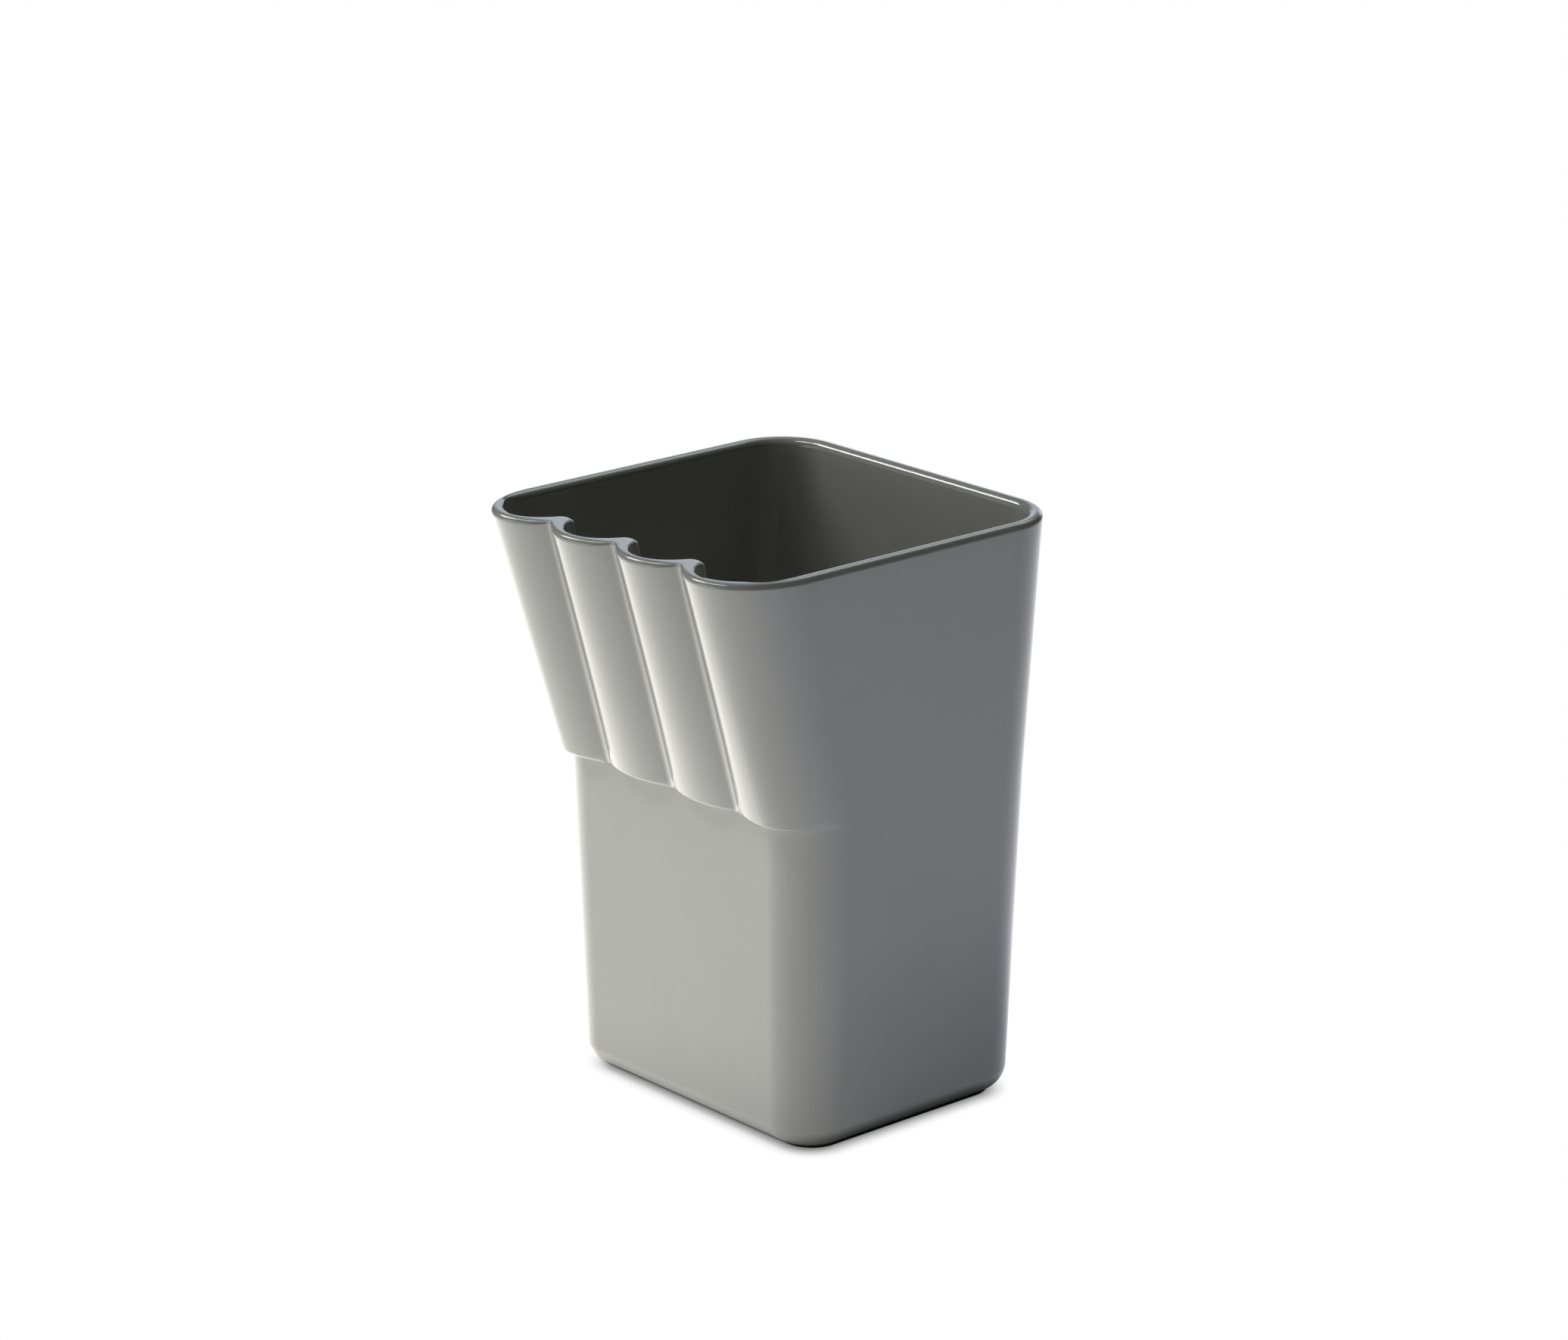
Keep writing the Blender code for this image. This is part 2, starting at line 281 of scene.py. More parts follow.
def plain_at(z, wall=0.0):
    """The plain section at heights z, taken in by the wall for the inside."""
    half_x, back, corner = widths(z)
    front = FRONT[0] + (FRONT[1] - FRONT[0]) * z / STEP_Z
    return plain(half_x - wall, back - wall, front - wall, corner - wall)


def leaning(z, sizes):
    """A size that changes evenly from the step to the rim."""
    return np.interp(z, LEVELS[1:], sizes)


def lobed_at(z):
    """The outside section at heights z above the step. The end lobes grow out of the corners."""
    half_x, back, corner = widths(z)
    end_length = leaning(z, (END_LOBE_LENGTH_STEP, END_LOBE_LENGTH_RIM))
    return scalloped(half_x, back, corner, leaning(z, CREST), leaning(z, GROOVE),
                     leaning(z, GROOVE_ROUND), end_length)


# %% The ridge beside each end channel
def eased(share):
    """A share kept between 0 and 1, with a soft start and end: 3 share squared less 2 share cubed."""
    share = np.clip(share, 0.0, 1.0)
    return share**2 * (3.0 - 2.0 * share)


# Along the end channel's quarter turn, from the side wall to the front, the ridge rises early and
# then runs out as the square root of a cosine. The gain brings its peak to nearly 1.
end_share = np.arange(END_COLUMNS) / END_COLUMNS
ridge_rise = eased((end_share - RIDGE_START_SHARE) / RIDGE_RISE_SHARE)
end_ridge = RIDGE_GAIN * ridge_rise * np.sqrt(np.cos(QUARTER * end_share))
ridge_shape = np.zeros(lobes_at_step.shape[1])
ridge_shape[front_start - END_COLUMNS:front_start] = end_ridge
ridge_shape[front_columns.stop + 1:front_columns.stop + END_COLUMNS] = end_ridge[:0:-1]
print("peak of the ridge, mm:", round(END_CHANNEL_RIDGE * ridge_shape.max() / MM, 2))


def channelled_at(z):
    """The inside section at heights z above the channels' floors.

    The outer wall of each end channel is a little thicker than the side wall and meets it in a
    small ridge: the section is moved in along its normals by ridge height x ridge shape.
    """
    half_x, back, corner = widths(z)
    section = scalloped(half_x - WALL, back - WALL, corner - WALL, leaning(z, CHANNEL),
                        leaning(z, FIN), FIN_ROUND, END_CHANNEL_LENGTH)
    section[..., :2] -= section[..., 2:] * (END_CHANNEL_RIDGE * ridge_shape)[:, None]
    return section


# %% [markdown]
# ## From sections to a skin
# A band is a stack of rings. Its rings are sections at given heights, moved in along their normals
# by an inset, which is how a rounded edge is made: inset and height follow a quarter circle.

# %% Rings and rounded edges
def rings(section, z, inset=0.0):
    """Points of a section at heights z, moved in along its normals: point - inset x normal."""
    shape = np.broadcast_shapes(section.shape[:2], np.shape(z), np.shape(inset))
    moved = section[..., :2] - section[..., 2:] * np.broadcast_to(inset, shape)[..., None]
    return np.concatenate([moved, np.broadcast_to(z, shape)[..., None]], axis=-1)


def between(first, last, count):
    """Rings spread evenly between a first and a last one, both of which are left out."""
    share = np.linspace(0.0, 1.0, count + 2)[1:-1, None, None]
    return first + (last - first) * share


def quarter(rows):
    """Angles of a quarter turn, from 0 to 90 degrees, as a column."""
    return column(np.linspace(0.0, QUARTER, rows))


def wall_heights(low, high, rows):
    """Heights between two edges, closer together near both, so that walls stay straight."""
    return low + (high - low) * (1 - np.cos(np.linspace(0.0, math.pi, rows))) / 2


# %% The underside, with the pad's seat
SEAT_TOP_Z = sole_high.z + SEAT_GAP
seat_section = plain(sole_high.x + SEAT_GAP, sole_high.y + SEAT_GAP, SEAT_GAP - sole_low.y,
                     SOLE_CORNER + SEAT_GAP)
base_section = plain_at(UNDERSIDE_Z + BASE_ROUND)
to_seat = seat_section[..., :2] - base_section[..., :2]
distance = np.linalg.norm(to_seat, axis=-1)
turn = np.arccos(1 - distance / BASE_ROUND) * column(np.linspace(1.0, 0.0, BASE_ROWS))
inset = BASE_ROUND * (1 - np.cos(turn))
base_points = base_section[..., :2] + to_seat * (inset / distance)[..., None]
base_z = UNDERSIDE_Z + BASE_ROUND * (1 - np.sin(turn))
base_band = np.concatenate([base_points, base_z[..., None]], axis=-1)
seat_ring = np.concatenate([seat_section[..., :2], np.full_like(distance, SEAT_TOP_Z)[..., None]], -1)
print("edge of the seat, mm above the ground:",
      round(base_z[0].min() / MM, 2), "to", round(base_z[0].max() / MM, 2))

# %% The plain wall and the underside of the step
plain_z = column(wall_heights(UNDERSIDE_Z + BASE_ROUND, STEP_Z, PLAIN_ROWS))
plain_band = rings(plain_at(plain_z), plain_z)[1:]
ledge = lobed_at(column([STEP_Z]))
overhang = ((ledge[..., :2] - plain_band[-1:, :, :2]) * ledge[..., 2:]).sum(axis=-1).clip(0.0)
step_round = STEP_ROUND * np.tanh(overhang / STEP_ROUND)
edge_of_ledge = rings(ledge, STEP_Z, step_round)
ledge_band = between(plain_band[-1:], edge_of_ledge, LEDGE_ROWS)
print("step stands out, mm:", round(overhang[0, front_start] / MM, 2))

# %% [markdown]
# The step's lower edge is a small round that shrinks to nothing where a groove runs down into the
# wall, and where the end lobes run out at the corners. A hyperbolic tangent does that smoothly: it
# follows the overhang where that is small, and stays at the full radius where there is room. Where
# the step runs out, the round also gets taller, so that its edge fades into the wall.

# %% The round along the step
FADE_TOP_Z = STEP_Z + STEP_ROUND + STEP_FADE + STEP_FADE_ROOM
step_height = STEP_ROUND + STEP_FADE * np.exp(-(overhang / STEP_FADE_OVERHANG) ** 2)
turn = quarter(STEP_ROWS)[::-1]
step_z = STEP_Z + step_height * (1 - np.sin(turn))
above_step = lobed_at(column([FADE_TOP_Z]))
step_section = ledge + (above_step - ledge) * ((step_z - STEP_Z) / (FADE_TOP_Z - STEP_Z))[..., None]
step_band = rings(step_section, step_z, step_round * (1 - np.cos(turn)))
print("round along the step, mm high:",
      round(step_height.min() / MM, 2), "to", round(step_height.max() / MM, 2))

# %% The lobes' wall above it
lobe_z = column(wall_heights(FADE_TOP_Z, HEIGHT - RIM_DEPTH, LEAN_ROWS))
lobe_band = rings(lobed_at(lobe_z), lobe_z)
print("rings up the lobes' wall:", len(lobe_band))


# %% [markdown]
# ## The rim
# Along the sides and the back its outer and inner edges are both large rounds that nearly meet.
# Over the lobes the rounds are smaller, and the channels' edges stay crisp, which leaves a flat
# that widens over each groove and runs out onto the fins.
# Both walls lean out, so a round that meets the wall without a crease starts at the wall's own
# angle and not level.

# %% A round between a leaning wall and the flat top
LEAN_MEASURED_OVER = 2.0 * MM


def lip(section_at, radius, side, rows):
    """The quarter turn, more or less, between a wall and the top. Side is 1 outside and -1 inside.

    Formula: the wall's slope at the top gives its lean. The centre of the round lies one radius
    under the top and one radius from the wall, and the points are centre + radius x (cos t along
    the outward normal, sin t up), with t from the wall's own angle to straight up.
    """
    below, top = [section_at(column([z])) for z in (HEIGHT - LEAN_MEASURED_OVER, HEIGHT)]
    drift = (top[..., :2] - below[..., :2]) / LEAN_MEASURED_OVER
    lean = np.arctan((drift * top[..., 2:]).sum(axis=-1))
    start = -side * lean
    touch_z = HEIGHT - radius * (1 - np.sin(start))
    touch = top[..., :2] + drift * (touch_z - HEIGHT)[..., None]
    across = side * radius * np.cos(start)
    centre = touch - top[..., 2:] * across[..., None]
    t = start + (QUARTER - start) * column(np.linspace(0.0, 1.0, rows))
    points = centre + top[..., 2:] * (side * radius * np.cos(t))[..., None]
    return np.concatenate([points, (HEIGHT - radius * (1 - np.sin(t)))[..., None]], axis=-1)


# %% The rim's two rounds and the flat between them
rim_y = lobed_at(column([HEIGHT]))[..., 1]
sideways = np.clip((rim_y + CREST[1] - OUTER_ROUND_BEHIND_CREST) / END_LOBE_LENGTH_RIM, 0.0, 1.0)
rim_round = RIM_ROUND_LOBES + (RIM_ROUND_SIDES - RIM_ROUND_LOBES) * sideways
into_groove = (rim_y[..., front_columns] + CREST[1]) / (CREST[1] - GROOVE[1])
rim_round[..., front_columns] = RIM_ROUND_LOBES + (RIM_ROUND_GROOVES - RIM_ROUND_LOBES) * into_groove**2
inner_y = channelled_at(column([HEIGHT]))[..., 1]
into_fin = (inner_y[..., front_columns] + CHANNEL[1]) / (CHANNEL[1] - FIN[1])
past_channels = eased((inner_y - INNER_ROUND_FROM_Y) / (INNER_ROUND_TO_Y - INNER_ROUND_FROM_Y))
inner_round = RIM_INNER_ROUND_CHANNELS + (RIM_INNER_ROUND_SIDES - RIM_INNER_ROUND_CHANNELS) * past_channels
inner_round[..., front_columns] += (RIM_INNER_ROUND_FINS - RIM_INNER_ROUND_CHANNELS) * into_fin**3
outer_lip = lip(lobed_at, rim_round, 1, OUTER_LIP_ROWS)
inner_lip = lip(channelled_at, inner_round, -1, INNER_LIP_ROWS)[::-1]
top_band = between(outer_lip[-1:], inner_lip[:1], TOP_ROWS)
flat_width = np.linalg.norm(inner_lip[0] - outer_lip[-1], axis=-1)
print("flat of the rim, mm:", round(flat_width.min() / MM, 2), "to", round(flat_width.max() / MM, 2))

# %% [markdown]
# Each channel ends in a shelf a little above the step. Small rounds join the shelf to the channel's
# wall and to the well below, and neither takes more than half of the shelf.

# %% Channels and their floors
channel_foot_z = CHANNEL_FLOOR_Z + CHANNEL_FLOOR_ROUND
channel_z = column(wall_heights(channel_foot_z, HEIGHT - RIM_DEPTH, LEAN_ROWS)[::-1])
channel_band = rings(channelled_at(channel_z), channel_z)
channel_foot = channelled_at(column([CHANNEL_FLOOR_Z]))
well_top = plain_at(column([CHANNEL_FLOOR_Z]), WALL)
room = np.linalg.norm(channel_foot[..., :2] - well_top[..., :2], axis=-1)
foot_round = CHANNEL_FLOOR_ROUND * np.tanh(room / CHANNEL_FLOOR_ROUND / 2)
turn = quarter(FOOT_ROWS)[1:]
foot_z = CHANNEL_FLOOR_Z + CHANNEL_FLOOR_ROUND * (1 - np.sin(turn))
foot_band = rings(channelled_at(foot_z), foot_z, foot_round * (1 - np.cos(turn)))
shelf_edge = rings(well_top, CHANNEL_FLOOR_Z, -foot_round)
shelf_band = between(foot_band[-1:], shelf_edge, SHELF_ROWS)
brow_z = CHANNEL_FLOOR_Z - CHANNEL_FLOOR_ROUND * (1 - np.cos(turn))
brow_band = rings(plain_at(brow_z, WALL), brow_z, -foot_round * (1 - np.sin(turn)))
print("shelf under a channel, mm deep:", round(room.max() / MM, 2))

# %% The well and its floor
well_top_z = CHANNEL_FLOOR_Z - CHANNEL_FLOOR_ROUND
well_z = column(wall_heights(FLOOR_Z + FLOOR_ROUND, well_top_z, WELL_ROWS)[::-1])
well_band = rings(plain_at(well_z, WALL), well_z)[1:]
turn = quarter(FLOOR_ROWS)[1:]
floor_band = rings(plain_at(column([FLOOR_Z + FLOOR_ROUND]), WALL),
                   FLOOR_Z + FLOOR_ROUND * (1 - np.sin(turn)), FLOOR_ROUND * (1 - np.cos(turn)))
print("rings down the well and round its floor:", len(well_band) + len(floor_band))


# %% [markdown]
# ## The meshes
# A skin takes all the rings of a piece, from the middle of its underside round to the middle of its
# floor, joins each ring to the next with four-sided faces, and closes the first and the last with
# one flat face each.

# %% Where the skin is rounded
NO_AREA, NO_LENGTH_SQUARED = 1e-15, 1e-12


def roundness(stack):
    """How sharply the skin turns outwards at each point: 0 on a flat wall, 1 on a 1 mm round.

    Formula: the outward normal is the cross product of the steps along and across the rings. Its
    change over a step, measured along that step and divided by the step's length squared, is the
    curvature, and the larger of the two counts. Two tiny values keep it from dividing by nothing
    where rings meet.
    """
    def change(values, axis):
        return np.gradient(values, axis=0) if axis == 0 else (
            np.roll(values, -1, axis=1) - np.roll(values, 1, axis=1)) / 2

    steps = [change(stack, axis) for axis in (1, 0)]
    normal = np.cross(*steps)
    normal /= np.linalg.norm(normal, axis=-1, keepdims=True) + NO_AREA
    turns = [(change(normal, axis) * step).sum(-1) / ((step**2).sum(-1) + NO_LENGTH_SQUARED)
             for axis, step in zip((1, 0), steps)]
    return np.clip(np.maximum(*turns) * MM, 0.0, 1.0)


# %% Rings to a closed mesh
WELD = 0.003 * MM
SHARP_DEGREES = 40.0


def skin(name, stack):
    """A closed smooth mesh through a stack of rings, each with as many points, from below upwards.

    Each point keeps its roundness in an attribute, which the finish reads as where hands rub. Where
    rings meet, as along the back at the level of the step, their points are welded into one.
    """
    count = stack.shape[1]
    level = np.arange(len(stack) - 1)[:, None] * count
    step = np.arange(count)
    after = (step + 1) % count
    quads = np.stack([level + step, level + after, level + count + after, level + count + step], -1)
    caps = [step[::-1].tolist(), (step + (len(stack) - 1) * count).tolist()]
    mesh = bpy.data.meshes.new(name)
    mesh.from_pydata(stack.reshape(-1, 3), [], quads.reshape(-1, 4).tolist() + caps)
    rounded = mesh.attributes.new("rounded", "FLOAT", "POINT")
    rounded.data.foreach_set("value", roundness(stack).astype(np.float32).ravel())
    welded = bmesh.new()
    welded.from_mesh(mesh)
    bmesh.ops.remove_doubles(welded, verts=welded.verts, dist=WELD)
    welded.to_mesh(mesh)
    welded.free()
    mesh.shade_smooth()
    mesh.set_sharp_from_angle(angle=math.radians(SHARP_DEGREES))
    piece = bpy.data.objects.new(name, mesh)
    bpy.context.scene.collection.objects.link(piece)
    mesh.calc_loop_triangles()
    print(name, "triangles:", len(mesh.loop_triangles), "needed repair:", mesh.validate())
    return piece


# %% Body
body_rings = np.concatenate([
    seat_ring, base_band, plain_band, ledge_band, step_band, lobe_band, outer_lip, top_band,
    inner_lip, channel_band, foot_band, shelf_band, shelf_edge, brow_band, well_band, floor_band,
])
body = skin("moulded_body", body_rings)
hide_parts("tumbler_body")
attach(body, "root")

# %% Pad under it
sole_section = plain(sole_high.x, sole_high.y, -sole_low.y, SOLE_CORNER)
turn = quarter(PAD_ROWS)
under = rings(sole_section, SOLE_EDGE * (1 - np.cos(turn)), SOLE_EDGE * (1 - np.sin(turn)))
over = rings(sole_section, sole_high.z - SOLE_EDGE * (1 - np.sin(turn)), SOLE_EDGE * (1 - np.cos(turn)))
pad = skin("rubber_pad", np.concatenate([under, over]))
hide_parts("non_slip_sole")
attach(pad, "root")


# %% [markdown]
# ## Finishes
# Shader maths reads best as plain sums. A wire stands for one output socket, and sums with wires
# add the Math nodes behind them. A sheet stands for the node tree of one finish, and its one method
# makes every other kind of node.

# %% Shader sums
class Wire:
    """An output socket. Sums, products and shares with it on either side, and its powers, add nodes."""

    def __init__(self, sheet, socket):
        self.sheet = sheet
        self.socket = socket

    def joined(self, operation, first, second):
        return self.sheet.node("ShaderNodeMath", {"operation": operation}, {0: first, 1: second})

    def __add__(self, other):
        return self.joined("ADD", self, other)

    def __radd__(self, other):
        return self.joined("ADD", other, self)

    def __sub__(self, other):
        return self.joined("SUBTRACT", self, other)

    def __rsub__(self, other):
        return self.joined("SUBTRACT", other, self)

    def __mul__(self, other):
        return self.joined("MULTIPLY", self, other)

    def __rmul__(self, other):
        return self.joined("MULTIPLY", other, self)

    def __truediv__(self, other):
        return self.joined("DIVIDE", self, other)

    def __rtruediv__(self, other):
        return self.joined("DIVIDE", other, self)

    def __pow__(self, other):
        return self.joined("POWER", self, other)


# %% A sheet of nodes
class Sheet:
    """The node tree of a finish or of the surroundings, emptied first."""

    def __init__(self, tree):
        self.tree = tree
        tree.nodes.clear()

    def node(self, kind, settings, inputs, output=0):
        """Adds a node: its settings first, then values or wires for its sockets. Gives one output."""
        made = self.tree.nodes.new(kind)
        for name, value in settings.items():
            setattr(made, name, value)
        for name, value in inputs.items():
            if isinstance(value, Wire):
                self.tree.links.new(value.socket, made.inputs[name])
            else:
                made.inputs[name].default_value = value
        return Wire(self, made.outputs[output]) if len(made.outputs) else made


def finish_sheet(name, piece):
    """A new material on a piece, as a sheet."""
    material = bpy.data.materials.new(name)
    material.use_nodes = True
    piece.data.materials.append(material)
    return Sheet(material.node_tree)


# %% [markdown]
# Three small helpers come back in the finishes: a cloud of soft noise at a given grain, a ramp
# between two values, and a blend of two colours. Grain is given as the size of one blotch on the
# real object, because that is what can be measured there.

# %% Clouds, ramps and blends
def cloud(sheet, place, grain, detail=2.0):
    """Soft noise from 0 to 1, mostly near a half. Grain is the size of a blotch in metres."""
    return sheet.node("ShaderNodeTexNoise", {}, {"Vector": place, "Scale": 1 / grain, "Detail": detail})


def ramp(sheet, value, low, high, to_low=0.0, to_high=1.0):
    """Rises smoothly from to_low to to_high while the value goes from low to high."""
    return sheet.node("ShaderNodeMapRange", {"interpolation_type": "SMOOTHSTEP"}, {
        "Value": value, "From Min": low, "From Max": high, "To Min": to_low, "To Max": to_high,
    })


def blend(sheet, share, first, second):
    """The first colour where the share is 0 and the second where it is 1."""
    return sheet.node("ShaderNodeMix", {"data_type": "RGBA"}, {0: share, 6: first, 7: second}, 2)


# %% [markdown]
# ## The grey plastic
# The real part is moulded in a polished mould, so it is smooth and glossy all over. Its grey is
# slightly warm. Up close such plastic is never quite even: the melt leaves faint clouds and upright
# flow lines, the walls ripple by a few thousandths of a millimetre, and handling rubs the rim, the
# step and the fins a little paler and duller. The gloss is a clear coat over a slightly rougher
# body, which gives both the sharp highlights on the rim and the soft sheen on the walls.

# %% Colours of the plastic, and the sizes of its unevenness
PLASTIC_DEEP = (0.350, 0.355, 0.325, 1.0)
PLASTIC_PALE = (0.371, 0.376, 0.346, 1.0)
PLASTIC_RUBBED = (0.430, 0.432, 0.408, 1.0)
TONE_RANGE, RUBBED_RANGE, RUBBED_SHARE = (0.30, 0.70), (0.78, 1.15), 0.30
MELT_GRAIN, PIGMENT_GRAIN, HANDLING_GRAIN = 22.0 * MM, 0.7 * MM, 5.0 * MM
FLOW_GRAIN, FLOW_STRETCH = 3.5 * MM, 0.12
RIPPLE_GRAIN, MOULD_GRAIN, RELIEF_DEPTH = 9.0 * MM, 0.5 * MM, 0.08 * MM

# %% Warm grey gloss plastic
sheet = finish_sheet("warm_grey_gloss", body)
place = sheet.node("ShaderNodeTexCoord", {}, {}, "Object")
upright = sheet.node("ShaderNodeMapping", {}, {"Vector": place, "Scale": (1.0, 1.0, FLOW_STRETCH)})
melt = cloud(sheet, place, MELT_GRAIN, 3.0)
flow = cloud(sheet, upright, FLOW_GRAIN)
pigment = cloud(sheet, place, PIGMENT_GRAIN)
handling = cloud(sheet, place, HANDLING_GRAIN, 5.0)
rounded = sheet.node("ShaderNodeAttribute", {"attribute_name": "rounded"}, {}, "Fac")
rubbed = ramp(sheet, rounded * 0.55 + handling, *RUBBED_RANGE)
tone = ramp(sheet, melt * 0.6 + flow * 0.15 + pigment * 0.25, *TONE_RANGE)
clean = blend(sheet, tone, PLASTIC_DEEP, PLASTIC_PALE)
colour = blend(sheet, rubbed * RUBBED_SHARE, clean, PLASTIC_RUBBED)
ripple = cloud(sheet, place, RIPPLE_GRAIN, 1.0)
grain = cloud(sheet, place, MOULD_GRAIN)
relief = sheet.node("ShaderNodeBump", {}, {
    "Strength": 0.2, "Distance": RELIEF_DEPTH, "Height": ripple + grain * 0.03,
})
surface = sheet.node("ShaderNodeBsdfPrincipled", {}, {
    "Base Color": colour,
    "Roughness": 0.10 + melt * 0.04 + rubbed * 0.08,
    "IOR": 1.5,
    "Coat Weight": 1.0 - rubbed * 0.25,
    "Coat Roughness": 0.03,
    "Coat IOR": 1.5,
    "Normal": relief,
})
sheet.node("ShaderNodeOutputMaterial", {}, {"Surface": surface})
print("plastic nodes:", len(sheet.tree.nodes))

# %% [markdown]
# ## The rubber pad
# Only a near-black strip of the pad shows. Such a pad has a fine sandy grain from its mould, is dull
# where it is clean, and picks up a little pale dust along its lowest edge, where it meets the shelf.

# %% Colours of the rubber, and the sizes of its grain
RUBBER_BLACK = (0.009, 0.009, 0.010, 1.0)
RUBBER_WORN = (0.017, 0.017, 0.018, 1.0)
RUBBER_DUST = (0.060, 0.058, 0.053, 1.0)
PATCH_GRAIN, SAND_GRAIN, SAND_DEPTH = 6.0 * MM, 0.35 * MM, 0.05 * MM
DUST_HEIGHT, DUST_PATCHES, DUST_SHARE = 0.6 * MM, (0.40, 0.70), 0.35

# %% Dull dark rubber
sheet = finish_sheet("dark_rubber_matte", pad)
place = sheet.node("ShaderNodeTexCoord", {}, {}, "Object")
height = sheet.node("ShaderNodeSeparateXYZ", {}, {"Vector": place}, "Z")
patchy = cloud(sheet, place, PATCH_GRAIN, 4.0)
sand = cloud(sheet, place, SAND_GRAIN, 3.0)
dust = ramp(sheet, height, 0.0, DUST_HEIGHT, 1.0, 0.0) * ramp(sheet, patchy, *DUST_PATCHES)
clean = blend(sheet, patchy, RUBBER_BLACK, RUBBER_WORN)
colour = blend(sheet, dust * DUST_SHARE, clean, RUBBER_DUST)
relief = sheet.node("ShaderNodeBump", {}, {"Strength": 0.5, "Distance": SAND_DEPTH, "Height": sand})
surface = sheet.node("ShaderNodeBsdfPrincipled", {}, {
    "Base Color": colour,
    "Roughness": 0.58 + patchy * 0.14 + dust * 0.10,
    "IOR": 1.5,
    "Normal": relief,
})
sheet.node("ShaderNodeOutputMaterial", {}, {"Surface": surface})
print("rubber nodes:", len(sheet.tree.nodes))

# %% [markdown]
# ## The white table
# The tumbler stands on white paper that runs out to plain white, with only a narrow soft shadow
# against its foot. The camera sees matt paper close to the foot and plain white further out, and
# the distance from the foot's outline decides how much of each. Reflections see a painted glow on
# the paper, a painted reflection that is brightest on the side of the large lamp, which is what
# gives the lower walls their smooth sheen. Light that bounces sees a fainter and cooler painted
# glow. Both glows carry painted shade for the tumbler's shadow: they are darker close to the foot,
# and the reflected glow also further out behind and to the right.

# %% The table's mesh
TABLE_REACH = 3.0
table_mesh = bpy.data.meshes.new("white_table")
table_corners = [(-TABLE_REACH, -TABLE_REACH, 0.0), (TABLE_REACH, -TABLE_REACH, 0.0),
                 (TABLE_REACH, TABLE_REACH, 0.0), (-TABLE_REACH, TABLE_REACH, 0.0)]
table_mesh.from_pydata(table_corners, [], [(0, 1, 2, 3)])
table = bpy.data.objects.new("white_table", table_mesh)
bpy.context.scene.collection.objects.link(table)
print("table, m across:", 2 * TABLE_REACH)


# %% Sums of vectors and kinds of light
def vectors(sheet, operation, first, second=None):
    """Vector maths. A length and a dot product come out as a number, anything else as a vector."""
    output = "Value" if operation in ("LENGTH", "DOT_PRODUCT") else "Vector"
    inputs = {0: first} if second is None else {0: first, 1: second}
    return sheet.node("ShaderNodeVectorMath", {"operation": operation}, inputs, output)


def seen_by(sheet, light):
    """One for light of a kind, which is "Camera", "Glossy" or "Diffuse", and zero for the rest."""
    return sheet.node("ShaderNodeLightPath", {}, {}, f"Is {light} Ray")


# %% How far a point of the table is from the foot
def beside_foot(sheet, place, aside):
    """Distance outside the rounded rectangle of the foot, as if the foot stood a little aside.

    Formula: take away the half sizes less the corner radius from the absolute place, keep what is
    above zero, and subtract the radius from its length.
    """
    corner = CORNER[0]
    middle = Vector((0.0, (BACK[0] - FRONT[0]) / 2, 0.0)) + Vector(aside)
    half = (HALF_X[0] - corner, (BACK[0] + FRONT[0]) / 2 - corner, 0.0)
    folded = vectors(sheet, "ABSOLUTE", vectors(sheet, "SUBTRACT", place, middle))
    past = vectors(sheet, "MAXIMUM", vectors(sheet, "SUBTRACT", folded, half), (0.0, 0.0, 0.0))
    return vectors(sheet, "LENGTH", past) - corner


def clear_of_foot(sheet, place, aside, near, far, darkest):
    """Rises from darkest to 1 while the distance from the foot goes from near to far."""
    return ramp(sheet, beside_foot(sheet, place, aside), near, far, darkest)


# %% Directions from the middle of the tumbler
def toward(azimuth, elevation):
    """The unit vector at an azimuth, anticlockwise from +X seen from above, and an elevation."""
    azimuth, elevation = math.radians(azimuth), math.radians(elevation)
    level = math.cos(elevation)
    return Vector((level * math.cos(azimuth), level * math.sin(azimuth), math.sin(elevation)))


# %% White paper
# Each change near the foot is given as the foot's shift, the two distances, and the darkest share.
# The near distance keeps the sheen from dividing by nothing, and at the far one it has halved.
WHITE = (1.0, 1.0, 1.0, 1.0)
PAPER = (0.80, 0.80, 0.80, 1.0)
CAMERA_FADE = ((0.4 * MM, 0.0, 0.0), -6.3 * MM, 1.2 * MM, 0.0)
# The sheen is a painted reflection of lit paper and the bounce a painted glow; their changes near the foot
# are painted shade.
SHEEN_AZIMUTH = 222.0
SHEEN_NEAR, SHEEN_FAR = 2.0 * MM, 650.0 * MM
SHEEN_LAMPWARD = (1.00, 0.99, 0.90, 1.0)
SHEEN_ASIDE = (0.310, 0.305, 0.380, 1.0)
SHEEN_STRENGTH = 1.9
SHEEN_SHADE_CLOSE = ((2.0 * MM, 0.0, 0.0), -3.0 * MM, 4.0 * MM, 0.0)
SHEEN_SHADE_WIDE = ((20.0 * MM, 20.0 * MM, 0.0), 0.0, 60.0 * MM, 0.74)
BOUNCE = (0.86, 0.88, 1.00, 1.0)
BOUNCE_STRENGTH = 0.34
BOUNCE_SHADE = ((0.0, 0.0, 0.0), 0.0, 60.0 * MM, 0.30)
sheet = finish_sheet("white_paper", table)
place = sheet.node("ShaderNodeTexCoord", {}, {}, "Object")
fade = clear_of_foot(sheet, place, *CAMERA_FADE)
out = vectors(sheet, "LENGTH", place)
lampward = vectors(sheet, "DOT_PRODUCT", place, toward(SHEEN_AZIMUTH, 0.0))
side = 0.5 + 0.5 * lampward / (out + SHEEN_NEAR)
far_off = 1.0 / (1.0 + (out / SHEEN_FAR) ** 2.0)
# Painted reflection for glossy rays, brightest towards the lamp, with painted shade close to the foot and
# behind and to the right.
sheen_clear = (clear_of_foot(sheet, place, *SHEEN_SHADE_CLOSE)
               * clear_of_foot(sheet, place, *SHEEN_SHADE_WIDE))
